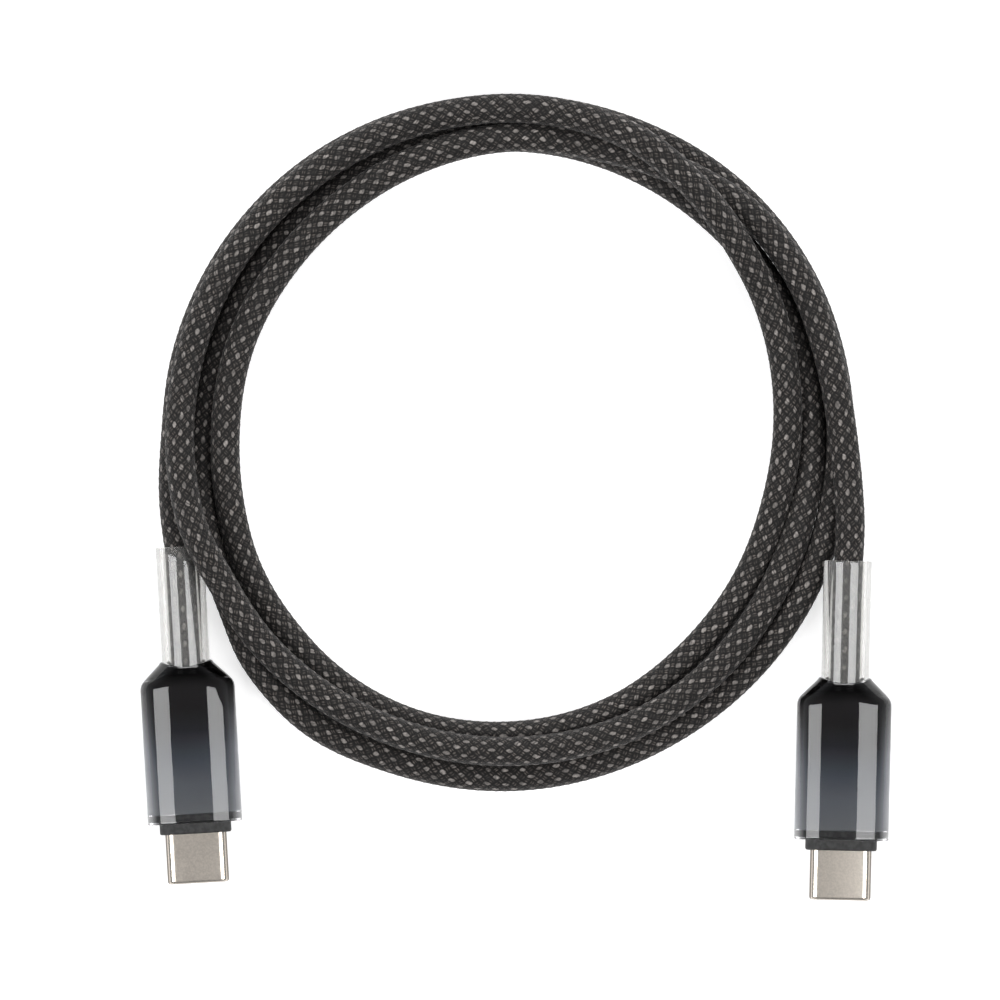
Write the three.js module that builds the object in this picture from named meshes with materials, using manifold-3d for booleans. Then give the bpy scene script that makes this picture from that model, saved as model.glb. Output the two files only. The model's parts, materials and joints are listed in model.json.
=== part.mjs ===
// A braided charging cable with a reversible plug at each end, wound into a flat coil.
// Millimetres, +Z up. The cable lies on a table at Z = 0 and both plugs point towards -Y.
// The origin is on the table, in the middle of the two connectors.

import * as THREE from 'three';
import { mergeVertices } from 'three/addons/utils/BufferGeometryUtils.js';
import Module from 'manifold-3d';

const wasm = await Module();
wasm.setup();

// ---- driving dimensions ---------------------------------------------------------------

// Gaps left between pieces that touch.
const CORD_GAP = 0.3;
const FIT_GAP = 0.1;

// Where each connector lies: its plug's tip, its turn about Z, and how far the strain relief
// rises from its neck to its mouth. B's relief climbs onto the coil's outer turn.
const CONNECTORS = [
  { letter: 'a', tip: [-42.55, -21.45], turn: 3.3, mouthRise: 0, hasMarkerChip: true },
  { letter: 'b', tip: [43.45, -23.75], turn: -1.36, mouthRise: 1.0, hasMarkerChip: false },
];

// Stations along a connector, measured from the plug's tip.
const COLLAR_FRONT = 6.65;
const SHELL_FRONT = 8.05;
const FLANGE_FRONT = 8.35;
const FLANGE_BACK = 9.3;
const CORE_FRONT = 9.4;
const SHOULDER_START = 26.9;
const CORE_BACK = 28.2;
const RELIEF_START = 28.6;
const NECK_START = 29.4;
const NECK_TOP = 29.9;
const RELIEF_END = 45.2;

// The clear outer shell, the core inside it, and the black collar at its front.
const SHELL_WIDTH = 12.8;
const SHELL_HEIGHT = 7.4;
const SHELL_WALL = 0.8;
const SHELL_FLAT = 4.8;
const NECK_WIDTH = 7.2;
const NECK_EDGE = 0.1;
const SHOULDER_BREAK = { length: 0.6, inset: 0.35, flatShare: 0.9 };
const CORE_WALL = 0.7;
const CORE_BACK_WALL = 1.4;
const CORE_HOLLOW_TAPER = 2;
const CORE_HOLLOW_FLAT = 6.8;
const COLLAR_WIDTH = 9.6;
const COLLAR_HEIGHT = 4.6;
const COLLAR_CORNER = 1.6;

// The plug: the drawn steel shell and what its mouth holds.
const PLUG_WIDTH = 8.25;
const PLUG_HEIGHT = 2.4;
const PLUG_WALL = 0.2;
const PLUG_BACK = 10.2;
const TONGUE_SLOT_WIDTH = 6.95;
const TONGUE_SLOT_HEIGHT = 1.15;
const HOUSING_FRONT = 0.4;
const HOUSING_BACK = 9.0;
const CONTACT_COUNT = 12;
const CONTACT_PITCH = 0.5;
const CONTACT_WIDTH = 0.25;
const CONTACT_THICK = 0.12;
const CONTACT_HEIGHT = 0.4;
const CONTACT_ROW = {
  fingers: CONTACT_COUNT,
  pitch: CONTACT_PITCH,
  width: CONTACT_WIDTH,
  front: 2.2,
  barFront: 6.3,
  barBack: 8.4,
  back: 11.4,
};
const GROUND_SPRING = {
  fingers: 4,
  pitch: 1.6,
  width: 0.8,
  front: 0.6,
  barFront: 1.3,
  barBack: 1.9,
  back: 1.9,
};
const LATCH_PLATE = { front: 1.2, crotch: 6.4, back: 8.8, arm: 0.2, hook: 0.35, thickness: 0.15 };

// The circuit board, its shield and the end of the cable's inner jacket.
const BOARD_FRONT = 10.4;
const BOARD_BACK = 19;
const BOARD_WIDTH = 8.2;
const BOARD_THICK = 0.6;
const PAD_GAP = 0.1;
const CAPACITOR = { across: 2.6, along: 13.2, width: 0.8, length: 1.6, height: 0.8 };
const MARKER_CHIP = { across: -1.2, along: 14, width: 2.4, length: 2.4, height: 0.75 };
const CAN_FRONT = 10.5;
const CAN_BACK = 21;
const CAN_WIDTH = 8.9;
const CAN_HEIGHT = 3.7;
const CAN_CORNER = 0.7;
const CAN_WALL = 0.2;
const JACKET_RADIUS = 1.2;
const JACKET_FRONT = 22.6;
const FERRULE_FRONT = 23.2;
const FERRULE_BACK = 25.4;
const FERRULE_RADIUS = 1.65;
const WIRE_RADIUS = 0.3;
const WIRE_FAN = 1.45;
const WIRE_PAD_FRONT = 17.4;
const WIRE_PAD_BACK = 18.6;
const WIRE_CROSSING = 20.2;
const WIRE_END_LENGTH = 0.9;
const WIRES = [
  { name: 'power', colour: 0xa02020 },
  { name: 'data_plus', colour: 0x1f6a38 },
  { name: 'control', colour: 0x23459a },
  { name: 'data_minus', colour: 0xd8d8d2 },
  { name: 'ground', colour: 0x1a1a1c },
];

// The cord, its clear strain reliefs and the coil it is wound into.
const CORD_RADIUS = 1.95;
const RELIEF_RADIUS = 3.25;
const RELIEF_BORE = CORD_RADIUS + CORD_GAP;
const COIL_CENTRE = [-0.65, 37.7];
const COIL_INNER_RADIUS = 36.2;
const COIL_OUTER_RADIUS = 46.9;
const COIL_HEIGHT = 11.6;
const COIL_EDGE = 1.9;

// The cord's two leads, from inside each neck to where they join the coil.
const LEAD_A_ROUTE = [
  [-44.2, 7.1, 3.7],
  [-44.4, 10.7, 3.7],
  [-44.63, 14.7, 3.7],
  [-44.86, 18.7, 3.7],
  [-45.09, 22.7, 3.7],
  [-45.2, 24.7, 3.7],
];
const LEAD_B_ROUTE = [
  [44.13, 4.85, 3.7],
  [44.21, 8.25, 3.74],
  [44.3, 12.25, 3.9],
  [44.4, 16.25, 4.17],
  [44.55, 21.45, 4.7],
  [44.75, 26.35, 5.05],
  [44.6, 31.05, 5.3],
];

// Fineness of the faceted curves.
const CORD_SIDES = 8;
const RELIEF_SIDES = 20;
const SHELL_SIDES = 24;
const COIL_SIDES = 72;
const ARC_STEPS = 3;
const RELIEF_STEPS = 6;
const LEAD_STEPS = 8;

// ---- materials ------------------------------------------------------------------------

function material(colour, roughness, metalness = 0, opacity = 1) {
  return new THREE.MeshStandardMaterial({
    color: colour,
    roughness,
    metalness,
    opacity,
    transparent: opacity < 1,
  });
}

const CLEAR = material(0xdcdcda, 0.05, 0, 0.3);
const CORE = material(0x3c4046, 0.3);
const BLACK_PLASTIC = material(0x1d1c1e, 0.75);
const PLUG_STEEL = material(0xa59b91, 0.3, 1);
const SHIELD_STEEL = material(0xb4b4b2, 0.35, 1);
const GOLD = material(0xc9a64a, 0.3, 1);
const BOARD = material(0x15392a, 0.5);
const CERAMIC = material(0x8a7458, 0.6);
const JACKET = material(0x202022, 0.7);
const BRAID = material(0x3a3836, 0.9);

// ---- shapes ---------------------------------------------------------------------------

function mesh(name, geometry, look) {
  const piece = new THREE.Mesh(geometry, look);
  piece.name = name;
  return piece;
}

function rectangle(left, front, right, back) {
  const shape = new THREE.Shape();
  shape.moveTo(left, front);
  shape.lineTo(right, front);
  shape.lineTo(right, back);
  shape.lineTo(left, back);
  shape.closePath();
  return shape;
}

// A rectangle about the origin with round corners; a radius of half its height gives round ends.
function roundedOutline(width, height, radius, outline = new THREE.Shape()) {
  const across = width / 2 - radius;
  const up = height / 2 - radius;
  outline.absarc(across, -up, radius, -Math.PI / 2, 0);
  outline.absarc(across, up, radius, 0, Math.PI / 2);
  outline.absarc(-across, up, radius, Math.PI / 2, Math.PI);
  outline.absarc(-across, -up, radius, Math.PI, 1.5 * Math.PI);
  outline.closePath();
  return outline;
}

function hollow(outer, inner) {
  const shape = outer.clone();
  shape.holes.push(inner);
  return shape;
}

// Extrudes an outline drawn across the connector (X and Z) along it (Y).
function extrudeAlong(shape, front, back) {
  const geometry = new THREE.ExtrudeGeometry(shape, {
    depth: back - front,
    bevelEnabled: false,
    curveSegments: ARC_STEPS,
  });
  geometry.rotateX(Math.PI / 2);
  geometry.translate(0, back, 0);
  return geometry;
}

// Extrudes an outline drawn in plan (X and Y) upwards from a height.
function extrudeUp(shape, bottom, thickness) {
  const geometry = new THREE.ExtrudeGeometry(shape, { depth: thickness, bevelEnabled: false });
  geometry.translate(0, 0, bottom);
  return geometry;
}

function circle(radius, outline = new THREE.Shape()) {
  return outline.absarc(0, 0, radius, 0, 2 * Math.PI, false);
}

// A round tube, hollow if it has a bore, that follows a curve.
function tube(curve, radius, sides, steps, bore = 0) {
  const solid = circle(radius);
  const shape = bore ? hollow(solid, circle(bore, new THREE.Path())) : solid;
  return new THREE.ExtrudeGeometry(shape, {
    steps,
    extrudePath: curve,
    curveSegments: sides / 2,
  });
}

function routeCurve(route) {
  return new THREE.CatmullRomCurve3(route.map((point) => new THREE.Vector3(...point)));
}

// A turned body whose round section is reshaped, station by station, into a section with a
// flat top and bottom and round sides. A station is [along, half width, half height, half flat].
function reshapedLathe(stations) {
  const profile = stations.map(([, halfWidth], index) => new THREE.Vector2(halfWidth, index));
  const step = (2 * Math.PI) / SHELL_SIDES;
  const geometry = new THREE.LatheGeometry(profile, SHELL_SIDES, step / 2);
  const place = geometry.attributes.position;
  const rise = 1 / Math.cos(step / 2);
  for (let index = 0; index < place.count; index += 1) {
    const [along, halfWidth, halfHeight, halfFlat] = stations[Math.round(place.getY(index))];
    const across = place.getX(index) / halfWidth;
    const up = place.getZ(index) / halfWidth;
    const x = Math.sign(across) * halfFlat + (halfWidth - halfFlat) * across;
    place.setXYZ(index, x, along, Math.min(1, Math.max(-1, rise * up)) * halfHeight);
  }
  return geometry;
}

function solidOf(geometry) {
  const bare = geometry.clone();
  bare.deleteAttribute('normal');
  bare.deleteAttribute('uv');
  const merged = mergeVertices(bare);
  return new wasm.Manifold(new wasm.Mesh({
    numProp: 3,
    vertProperties: merged.attributes.position.array,
    triVerts: new Uint32Array(merged.index.array),
  }));
}

function geometryOf(solid) {
  const made = solid.getMesh();
  const geometry = new THREE.BufferGeometry();
  geometry.setAttribute('position', new THREE.BufferAttribute(made.vertProperties, 3));
  geometry.setIndex(new THREE.BufferAttribute(made.triVerts, 1));
  return geometry;
}

// ---- the plug -------------------------------------------------------------------------

function plugShell() {
  const outer = roundedOutline(PLUG_WIDTH, PLUG_HEIGHT, PLUG_HEIGHT / 2);
  const width = PLUG_WIDTH - 2 * PLUG_WALL;
  const height = PLUG_HEIGHT - 2 * PLUG_WALL;
  const inner = roundedOutline(width, height, height / 2, new THREE.Path());
  return extrudeAlong(hollow(outer, inner), 0, PLUG_BACK);
}

// The insulator lines the steel shell and leaves the slot that the socket's tongue enters.
function contactHousing() {
  const width = PLUG_WIDTH - 2 * (PLUG_WALL + FIT_GAP);
  const height = PLUG_HEIGHT - 2 * (PLUG_WALL + FIT_GAP);
  const outer = roundedOutline(width, height, height / 2);
  const corner = 0.1;
  const slot = roundedOutline(TONGUE_SLOT_WIDTH, TONGUE_SLOT_HEIGHT, corner, new THREE.Path());
  return extrudeAlong(hollow(outer, slot), HOUSING_FRONT, HOUSING_BACK);
}

// A row of contact beams held side by side by a moulded bar, drawn as one comb in plan.
function comb({ fingers, pitch, width, front, barFront, barBack, back }) {
  const span = ((fingers - 1) * pitch + width) / 2;
  const shape = new THREE.Shape();
  shape.moveTo(-span, barFront);
  for (let finger = 0; finger < fingers; finger += 1) {
    const left = -span + finger * pitch;
    shape.lineTo(left, barFront);
    shape.lineTo(left, front);
    shape.lineTo(left + width, front);
    shape.lineTo(left + width, barFront);
  }
  shape.lineTo(span, barBack);
  for (let finger = fingers - 1; finger >= 0 && back > barBack; finger -= 1) {
    const left = -span + finger * pitch;
    shape.lineTo(left + width, barBack);
    shape.lineTo(left + width, back);
    shape.lineTo(left, back);
    shape.lineTo(left, barBack);
  }
  shape.lineTo(-span, barBack);
  shape.closePath();
  return shape;
}

// The stamped plate between the two contact rows, with a hooked latch arm down each side.
function latchPlate() {
  const side = TONGUE_SLOT_WIDTH / 2 - FIT_GAP;
  const { front, crotch, back, arm, hook, thickness } = LATCH_PLATE;
  const shape = new THREE.Shape();
  shape.moveTo(-side, front);
  shape.lineTo(-side + hook, front + hook);
  shape.lineTo(-side + arm, front + 2 * hook);
  shape.lineTo(-side + arm, crotch);
  shape.lineTo(side - arm, crotch);
  shape.lineTo(side - arm, front + 2 * hook);
  shape.lineTo(side - hook, front + hook);
  shape.lineTo(side, front);
  shape.lineTo(side, back);
  shape.lineTo(-side, back);
  shape.closePath();
  return extrudeUp(shape, -thickness / 2, thickness);
}

function plugMeshes(letter) {
  const contacts = comb(CONTACT_ROW);
  const spring = comb(GROUND_SPRING);
  const low = -CONTACT_HEIGHT - CONTACT_THICK;
  return [
    mesh(`plug_shell_${letter}`, plugShell(), PLUG_STEEL),
    mesh(`contact_housing_${letter}`, contactHousing(), BLACK_PLASTIC),
    mesh(`contacts_upper_${letter}`, extrudeUp(contacts, CONTACT_HEIGHT, CONTACT_THICK), GOLD),
    mesh(`contacts_lower_${letter}`, extrudeUp(contacts, low, CONTACT_THICK), GOLD),
    mesh(`ground_spring_upper_${letter}`, extrudeUp(spring, CONTACT_HEIGHT, CONTACT_THICK), SHIELD_STEEL),
    mesh(`ground_spring_lower_${letter}`, extrudeUp(spring, low, CONTACT_THICK), SHIELD_STEEL),
    mesh(`latch_plate_${letter}`, latchPlate(), SHIELD_STEEL),
  ];
}

// ---- inside the connector -------------------------------------------------------------

const BOARD_TOP = BOARD_THICK / 2;

function board() {
  const half = BOARD_WIDTH / 2;
  return extrudeUp(rectangle(-half, BOARD_FRONT, half, BOARD_BACK), -BOARD_TOP, BOARD_THICK);
}

// A square component on top of the board.
function component({ across, along, width, length, height }) {
  const left = across - width / 2;
  const front = along - length / 2;
  return extrudeUp(rectangle(left, front, left + width, front + length), BOARD_TOP + PAD_GAP, height);
}

// One half of the folded can round the board: a channel with bevelled corners, open downwards,
// or upwards if it is the lower half.
function shieldHalf(isLower) {
  const half = CAN_WIDTH / 2;
  const top = CAN_HEIGHT / 2;
  const side = [
    [half, FIT_GAP],
    [half, top - CAN_CORNER],
    [half - CAN_CORNER, top],
  ];
  const inside = [
    [half - CAN_CORNER - CAN_WALL / 2, top - CAN_WALL],
    [half - CAN_WALL, top - CAN_CORNER - CAN_WALL / 2],
    [half - CAN_WALL, FIT_GAP],
  ];
  const mirrored = (points) => points.map(([x, z]) => [-x, z]).reverse();
  const points = [...side, ...mirrored(side), ...mirrored(inside), ...inside];
  const flip = isLower ? -1 : 1;
  const shape = new THREE.Shape(points.map(([x, z]) => new THREE.Vector2(x, flip * z)));
  return extrudeAlong(shape, CAN_FRONT, CAN_BACK);
}

// A straight round pipe along the connector.
function pipe(radius, bore, front, back) {
  const inner = circle(bore, new THREE.Path());
  return extrudeAlong(hollow(circle(radius), inner), front, back);
}

// One insulated wire, from its pad on the board into the end of the inner jacket. The wires end
// on a circle, in the same order across as their pads and alternately above and below.
function wire(index) {
  const place = index - (WIRES.length - 1) / 2;
  const pad = place * WIRE_FAN;
  const angle = (place * Math.PI) / WIRES.length;
  const ring = JACKET_RADIUS - WIRE_RADIUS - FIT_GAP;
  const side = index % 2 ? -1 : 1;
  const end = [Math.sin(angle) * ring, side * Math.cos(angle) * ring];
  const height = BOARD_TOP + PAD_GAP + WIRE_RADIUS;
  const curve = routeCurve([
    [pad, WIRE_PAD_FRONT, height],
    [pad, WIRE_PAD_BACK, height],
    [(pad + end[0]) / 2, WIRE_CROSSING, (height + end[1]) / 2],
    [end[0], JACKET_FRONT - WIRE_END_LENGTH, end[1]],
    [end[0], JACKET_FRONT - FIT_GAP, end[1]],
  ]);
  return tube(curve, WIRE_RADIUS, CORD_SIDES - 2, LEAD_STEPS);
}

function insideMeshes({ letter, hasMarkerChip }) {
  const jacket = extrudeAlong(circle(JACKET_RADIUS), JACKET_FRONT, CORE_BACK);
  const bore = JACKET_RADIUS + FIT_GAP;
  const ferrule = pipe(FERRULE_RADIUS, bore, FERRULE_FRONT, FERRULE_BACK);
  const pieces = [
    mesh(`circuit_board_${letter}`, board(), BOARD),
    mesh(`capacitor_${letter}`, component(CAPACITOR), CERAMIC),
    mesh(`shield_can_upper_${letter}`, shieldHalf(false), SHIELD_STEEL),
    mesh(`shield_can_lower_${letter}`, shieldHalf(true), SHIELD_STEEL),
    mesh(`jacket_end_${letter}`, jacket, JACKET),
    mesh(`crimp_ferrule_${letter}`, ferrule, SHIELD_STEEL),
  ];
  if (hasMarkerChip) {
    pieces.push(mesh(`marker_chip_${letter}`, component(MARKER_CHIP), BLACK_PLASTIC));
  }
  WIRES.forEach(({ name, colour }, index) => {
    pieces.push(mesh(`wire_${name}_${letter}`, wire(index), material(colour, 0.5)));
  });
  return pieces;
}

// ---- the connector's casing -----------------------------------------------------------

// The clear shell: a wide body, shoulders that narrow to a round neck, and a bore through it
// that is wide for the core and round for the strain relief.
function outerShell() {
  const wide = SHELL_WIDTH / 2;
  const high = SHELL_HEIGHT / 2;
  const flat = SHELL_FLAT / 2;
  const neck = NECK_WIDTH / 2;
  const bore = RELIEF_RADIUS + FIT_GAP;
  const inWide = wide - SHELL_WALL;
  const inHigh = high - SHELL_WALL;
  const seat = RELIEF_START - FIT_GAP;
  const { length, inset, flatShare } = SHOULDER_BREAK;
  return reshapedLathe([
    [SHELL_FRONT, wide, high, flat],
    [SHOULDER_START, wide, high, flat],
    [SHOULDER_START + length, wide - inset, high, flatShare * flat],
    [NECK_START, neck, high, 0],
    [NECK_TOP, neck - NECK_EDGE, high - NECK_EDGE / 3, 0],
    [NECK_TOP, bore, bore, 0],
    [seat, bore, bore, 0],
    [seat, bore, inHigh, 0],
    [SHOULDER_START, inWide, inHigh, flat],
    [SHELL_FRONT, inWide, inHigh, flat],
    [SHELL_FRONT, wide, high, flat],
  ]);
}

// The coloured core inside the clear shell, hollow for the board and its shield.
function innerCore() {
  const wide = SHELL_WIDTH / 2 - SHELL_WALL - FIT_GAP;
  const high = SHELL_HEIGHT / 2 - SHELL_WALL - FIT_GAP;
  const flat = SHELL_FLAT / 2;
  const hollowWide = wide - CORE_WALL;
  const hollowHigh = high - CORE_WALL;
  const hollowFlat = CORE_HOLLOW_FLAT / 2;
  const hollowBack = CORE_BACK - CORE_BACK_WALL;
  const bore = JACKET_RADIUS + FIT_GAP;
  const seat = FERRULE_RADIUS + FIT_GAP;
  const backWide = RELIEF_RADIUS - FIT_GAP;
  return reshapedLathe([
    [CORE_FRONT, wide, high, flat],
    [SHOULDER_START - FIT_GAP, wide, high, flat],
    [CORE_BACK, backWide, high, 0],
    [CORE_BACK, bore, bore, 0],
    [hollowBack, bore, bore, 0],
    [hollowBack, seat, seat, 0],
    [SHOULDER_START - CORE_HOLLOW_TAPER, hollowWide, hollowHigh, hollowFlat],
    [CORE_FRONT, hollowWide, hollowHigh, hollowFlat],
    [CORE_FRONT, wide, high, flat],
  ]);
}

// The black collar: a boss round the plug that stands out of the shell, on a wider flange.
function frontCollar() {
  const bossOutline = roundedOutline(COLLAR_WIDTH, COLLAR_HEIGHT, COLLAR_CORNER);
  const flangeWidth = SHELL_WIDTH - 2 * (SHELL_WALL + 2 * FIT_GAP);
  const flangeHeight = SHELL_HEIGHT - 2 * (SHELL_WALL + FIT_GAP);
  const flangeOutline = roundedOutline(flangeWidth, flangeHeight, flangeHeight / 2);
  const plugWidth = PLUG_WIDTH + 2 * FIT_GAP;
  const plugHeight = PLUG_HEIGHT + 2 * FIT_GAP;
  const plugOutline = roundedOutline(plugWidth, plugHeight, plugHeight / 2);
  const boss = solidOf(extrudeAlong(bossOutline, COLLAR_FRONT, FLANGE_BACK - FIT_GAP));
  const flange = solidOf(extrudeAlong(flangeOutline, FLANGE_FRONT, FLANGE_BACK));
  const hole = solidOf(extrudeAlong(plugOutline, 0, PLUG_BACK));
  return geometryOf(boss.add(flange).subtract(hole));
}

function casingMeshes(letter) {
  return [
    mesh(`outer_shell_${letter}`, outerShell(), CLEAR),
    mesh(`inner_core_${letter}`, innerCore(), CORE),
    mesh(`front_collar_${letter}`, frontCollar(), BLACK_PLASTIC),
  ];
}

// A whole connector in its own frame: Y along it from the plug's tip, its axis at Z = 0.
function connectorGroup(connector) {
  const group = new THREE.Group();
  group.add(...plugMeshes(connector.letter));
  group.add(...insideMeshes(connector));
  group.add(...casingMeshes(connector.letter));
  group.position.set(...connector.tip, SHELL_HEIGHT / 2);
  group.rotation.z = THREE.MathUtils.degToRad(connector.turn);
  group.updateMatrixWorld(true);
  return group;
}

// ---- the strain reliefs and the cord --------------------------------------------------

// The strain relief's centreline: straight back from the neck, rising to its mouth.
function reliefCurve(group, mouthRise) {
  const points = [];
  for (let step = 0; step <= RELIEF_STEPS; step += 1) {
    const share = step / RELIEF_STEPS;
    const along = RELIEF_START + share * (RELIEF_END - RELIEF_START);
    points.push(group.localToWorld(new THREE.Vector3(0, along, mouthRise * share ** 2)));
  }
  return new THREE.CatmullRomCurve3(points);
}

function reliefTube(curve) {
  return tube(curve, RELIEF_RADIUS, RELIEF_SIDES, RELIEF_STEPS, RELIEF_BORE);
}

function leadTube(route, radius = CORD_RADIUS) {
  return tube(routeCurve(route), radius, CORD_SIDES, LEAD_STEPS);
}

// A ring with bevelled edges in the outer shape of the coil's turns.
function coilRing() {
  const inner = COIL_INNER_RADIUS;
  const outer = COIL_OUTER_RADIUS;
  const profile = [
    [inner + COIL_EDGE, 0],
    [outer - COIL_EDGE, 0],
    [outer, COIL_EDGE],
    [outer, COIL_HEIGHT - COIL_EDGE],
    [outer - COIL_EDGE, COIL_HEIGHT],
    [inner + COIL_EDGE, COIL_HEIGHT],
    [inner, COIL_HEIGHT - COIL_EDGE],
    [inner, COIL_EDGE],
    [inner + COIL_EDGE, 0],
  ].map(([radius, height]) => new THREE.Vector2(radius, height));
  const geometry = new THREE.LatheGeometry(profile, COIL_SIDES);
  geometry.rotateX(Math.PI / 2);
  geometry.translate(...COIL_CENTRE, 0);
  return geometry;
}

// The coil's ring, cut clear of both strain reliefs and both leads.
function coilSolid(reliefCurves) {
  const cutters = reliefCurves.map((curve) => (
    solidOf(tube(curve, RELIEF_RADIUS + CORD_GAP, RELIEF_SIDES, RELIEF_STEPS))
  ));
  const leads = [LEAD_A_ROUTE, LEAD_B_ROUTE];
  leads.forEach((route) => cutters.push(solidOf(leadTube(route, CORD_RADIUS + 2 * CORD_GAP))));
  let ring = solidOf(coilRing());
  cutters.forEach((cutter) => {
    ring = ring.subtract(cutter);
  });
  return geometryOf(ring);
}

const cable = new THREE.Group();
const groups = CONNECTORS.map(connectorGroup);
cable.add(...groups);
const reliefCurves = CONNECTORS.map(({ mouthRise }, index) => reliefCurve(groups[index], mouthRise));
CONNECTORS.forEach(({ letter }, index) => {
  cable.add(mesh(`strain_relief_${letter}`, reliefTube(reliefCurves[index]), CLEAR));
});
cable.add(mesh('cord_lead_a', leadTube(LEAD_A_ROUTE), BRAID));
cable.add(mesh('cord_lead_b', leadTube(LEAD_B_ROUTE), BRAID));
cable.add(mesh('cord_coil', coilSolid(reliefCurves), BRAID));

export default cable;
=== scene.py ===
"""A braided charging cable, wound into a flat coil, with a clear-shelled connector at each end.

Metres, +Z up, in the CAD frame. Both plugs point towards -Y and the cable lies on the floor.
"""

import json
import math

import bmesh
import bpy
import numpy as np
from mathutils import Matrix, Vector


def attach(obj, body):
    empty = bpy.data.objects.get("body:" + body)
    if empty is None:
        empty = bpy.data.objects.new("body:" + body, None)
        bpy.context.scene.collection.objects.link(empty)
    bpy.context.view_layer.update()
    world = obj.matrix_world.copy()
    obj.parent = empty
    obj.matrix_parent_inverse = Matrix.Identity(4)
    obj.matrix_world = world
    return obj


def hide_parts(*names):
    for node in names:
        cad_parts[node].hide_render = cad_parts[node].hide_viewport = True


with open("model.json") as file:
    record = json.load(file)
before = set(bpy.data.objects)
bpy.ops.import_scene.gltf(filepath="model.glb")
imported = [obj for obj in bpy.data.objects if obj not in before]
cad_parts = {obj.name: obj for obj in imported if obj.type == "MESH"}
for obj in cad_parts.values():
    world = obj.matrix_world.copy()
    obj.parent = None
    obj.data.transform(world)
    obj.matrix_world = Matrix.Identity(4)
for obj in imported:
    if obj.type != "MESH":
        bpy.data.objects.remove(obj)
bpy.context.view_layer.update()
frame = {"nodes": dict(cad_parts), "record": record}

BODY = "root"
MM = 0.001

# ---- the cord's facts and its route -------------------------------------------------------

CORD_DIAMETER = 3.9 * MM

# The route's ends, from inside each neck to where the cord joins the coil.
LEAD_A_ROUTE = [
    (-0.0442, 0.0071, 0.0037),
    (-0.0444, 0.0107, 0.0037),
    (-0.04463, 0.0147, 0.0037),
    (-0.04486, 0.0187, 0.0037),
    (-0.04509, 0.0227, 0.0037),
    (-0.0452, 0.0247, 0.0037),
]
LEAD_B_ROUTE = [
    (0.04413, 0.00485, 0.0037),
    (0.04421, 0.00825, 0.00374),
    (0.0443, 0.01225, 0.0039),
    (0.0444, 0.01625, 0.00417),
    (0.04455, 0.02145, 0.0047),
    (0.04475, 0.02635, 0.00505),
    (0.0446, 0.03105, 0.0053),
]

COIL_CENTRE = (-0.65 * MM, 37.7 * MM)
# How the turns lie: degrees clockwise from +Y, counted on from turn to turn, then the radius and
# height in millimetres. The heights say which turn passes over which.
LANES = [
    (-107.5, 46.7, 3.7), (-98, 45.8, 2.8), (-90, 45.1, 2.2), (-75, 45.15, 1.95),
    (-40, 45.2, 1.95), (0, 44.75, 1.95), (20, 44.7, 1.95), (45, 44.95, 1.95),
    (62, 44.8, 1.95), (75, 44.45, 1.95), (90, 44.2, 1.95), (120, 44.1, 1.95),
    (150, 44.2, 1.95), (180, 44.95, 1.95), (200, 45.4, 1.95), (217, 46.1, 1.95),
    (224, 45.65, 1.95), (231, 45, 1.95), (238, 43.7, 1.95), (246, 42.9, 1.95),
    (256, 42.2, 1.95), (270, 41.3, 1.95), (310, 41.2, 1.95), (360, 40.95, 1.95),
    (385, 40.6, 1.95), (400, 40.55, 1.95), (412, 40.65, 1.95), (425, 40.7, 1.95),
    (440, 40.5, 1.95), (450, 40.4, 1.95), (463, 40.2, 2.35), (480, 40.4, 3.5),
    (495, 40.9, 4.55), (510, 41.3, 5), (540, 41.5, 5.35), (570, 42.1, 5.45),
    (586, 42.7, 5.7), (592, 42.9, 6.1), (598, 43, 6.6), (604, 43.1, 7.3), (609, 43.55, 7.9),
    (614, 44.05, 8.3), (622, 44.3, 8), (632, 44.45, 7), (645, 44.6, 6.1), (660, 44.7, 5.9),
    (690, 44.75, 5.9), (712, 44.75, 6.1), (724, 44.7, 7.1), (736, 44.3, 8.6),
    (744, 43.7, 9.45), (752, 42.6, 9.55), (760, 41.5, 9.1), (770, 40.2, 7.6),
    (780, 39.3, 6.3), (795, 38, 5.2), (808, 37.1, 4.2), (824, 36.45, 2.85),
    (838, 36.6, 1.95), (860, 37.3, 1.95), (880, 38.6, 1.95), (900, 39.45, 1.95),
    (920, 40, 1.95), (940, 39.8, 1.95), (950, 39.5, 2.1), (958, 39.4, 2.35),
    (966, 39.2, 2.95), (975, 38.75, 3.6), (990, 38.35, 4.7), (1010, 38.6, 5.05),
    (1030, 38.7, 5.15), (1045, 39.1, 5.55), (1060, 39.8, 5.8), (1080, 40.85, 5.87),
    (1095, 41.2, 5.85), (1107, 42.2, 5.6), (1116, 43.2, 5.75), (1125, 44.2, 5.85),
    (1140, 44.5, 5.87), (1155, 44.1, 5.87), (1170, 44.6, 5.8), (1178, 45.7, 5.5),
    (1184, 46.9, 5.05), (1189.8, 48.05, 4.7),
]
LANE_STEP_DEGREES = 3.0
# Rounds of averaging with its neighbours that each point of the centreline gets.
SMOOTHING_ROUNDS = 120

# The braid: yarns each way round the cord, and how far along it one yarn goes once round.
YARNS_EACH_WAY = 12
BRAID_PITCH = 14.1 * MM
BRAID_RELIEF = 0.13 * MM
# The share of the relief that lies inside the cord's nominal surface.
RELIEF_INSIDE = 0.75
# How flat a yarn's crown is across it, and where it dips under its neighbours.
CROWN_POWER = 0.6
DIP_POWER = 0.35
YARN_BUMP = 0.08 * MM
STRANDS_IN_YARN = 2
# Columns of the cord's mesh for each yarn.
YARN_COLUMNS = 4
# A grey fleck, in widths of the cell between crossings, and its tilt.
FLECK_HALF_WIDTH = 0.26
FLECK_HALF_LENGTH = 0.4
FLECK_TILT = 0.3
# How far, in yarns, the lay wanders from place to place, and how finely for each way.
LAY_WANDER = 0.17
WANDER_SCALES = (720.0, 540.0)
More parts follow.
